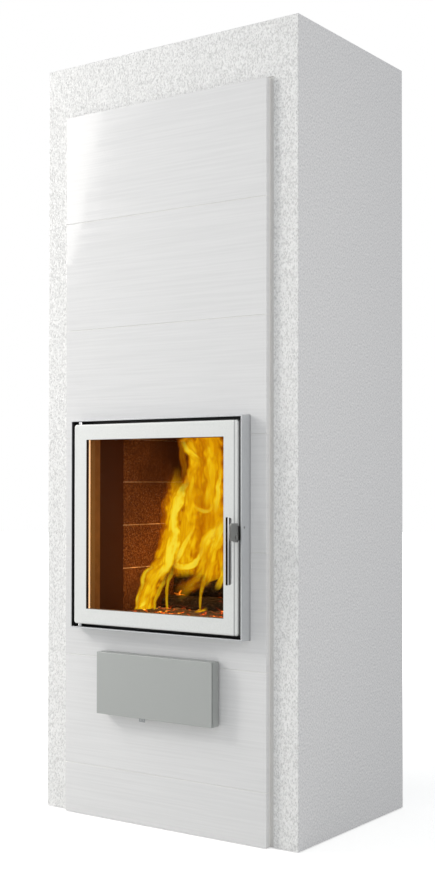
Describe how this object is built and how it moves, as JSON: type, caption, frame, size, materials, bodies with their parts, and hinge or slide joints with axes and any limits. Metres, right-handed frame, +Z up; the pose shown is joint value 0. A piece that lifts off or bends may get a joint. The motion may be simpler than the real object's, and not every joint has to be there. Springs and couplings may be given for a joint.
{
  "type": "tiled stove",
  "caption": "Tall plastered stove with a glazed tile front, a glass fire door with a bar handle, an ash drawer under it and an air lever.",
  "frame": {"origin": "on the floor under the middle of the plastered body", "axes": "+Z up, the tiled front faces -Y, +X to the viewer's right"},
  "size_m": [0.78, 0.6382, 1.95],
  "materials": {
    "render": "rough mineral render, painted white",
    "precast": "cast lightweight concrete",
    "glazed_tile": "white gloss glaze with fine horizontal lines",
    "grout": "fine white grout",
    "fireclay": "fired clay slab",
    "firebrick": "firebrick, sooted",
    "cast_iron": "as cast, sooted",
    "steel": "mill finish sheet",
    "silver_paint": "silver heat-resisting paint, satin",
    "cover_paint": "silver-grey heat-resisting paint, satin",
    "chrome": "polished",
    "glass": "clear ceramic glass",
    "fibre_seal": "braided ceramic fibre",
    "firewood": "charred split logs"
  },
  "bodies": {
    "stove": {"base_slab": "precast", "casing_left": "precast", "casing_right": "precast", "casing_back": "precast", "pilaster_left": "precast", "pilaster_right": "precast", "front_panel_lower": "precast", "front_panel_upper": "precast", "top_slab": "precast", "plaster_coat": "render", "tile_bed": "grout", "tile_course_1": "glazed_tile", "tile_course_2": "glazed_tile", "tile_course_3": "glazed_tile", "tile_course_4": "glazed_tile", "tile_course_5": "glazed_tile", "tile_course_6": "glazed_tile", "tile_course_7": "glazed_tile", "core_plinth": "precast", "core_blocks": "precast", "storage_slabs": "fireclay", "hearth_base": "fireclay", "hearth_slab": "fireclay", "grate": "cast_iron", "sill_stone": "fireclay", "jambs": "fireclay", "firebox_lintel": "fireclay", "firebrick_left": "firebrick", "firebrick_right": "firebrick", "firebrick_back": "firebrick", "firebox_ceiling": "fireclay", "storage_ring_1": "fireclay", "storage_ring_2": "fireclay", "storage_ring_3": "fireclay", "smoke_divider": "fireclay", "core_cap": "fireclay", "flue_collar": "steel", "firewood": "firewood", "mounting_channel": "steel", "door_frame": "silver_paint", "frame_screws": "steel", "hinge_pins": "steel", "keeper_stud": "steel", "ash_chamber": "steel", "pan_runners": "steel", "cover_casing": "cover_paint", "register_guides": "steel"},
    "door": {"door_leaf": "silver_paint", "glass_pane": "glass", "glass_seal": "fibre_seal", "glass_retainer": "steel", "retainer_screws": "steel", "door_rope": "fibre_seal", "latch_bearing": "steel", "latch_pin": "steel"},
    "latch": {"latch_plate": "steel", "handle_bar": "chrome"},
    "ash_drawer": {"drawer_front": "cover_paint", "ash_pan": "steel"},
    "air_slide": {"air_plate": "steel"}
  },
  "joints": [
    {"name": "door_hinge", "type": "hinge", "parent": "stove", "child": "door", "pos_m": [-0.24175, -0.3005, 0.749], "axis": [0, 0, -1], "range_deg": [0, 105]},
    {"name": "latch_turn", "type": "hinge", "parent": "door", "child": "latch", "pos_m": [0.2563, -0.324, 0.727], "axis": [-1, 0, 0], "range_deg": [-8, 22]},
    {"name": "drawer_slide", "type": "slide", "parent": "stove", "child": "ash_drawer", "axis": [0, -1, 0], "range_m": [0, 0.3]},
    {"name": "air_slide", "type": "slide", "parent": "stove", "child": "air_slide", "axis": [1, 0, 0], "range_m": [0, 0.028]}
  ]
}
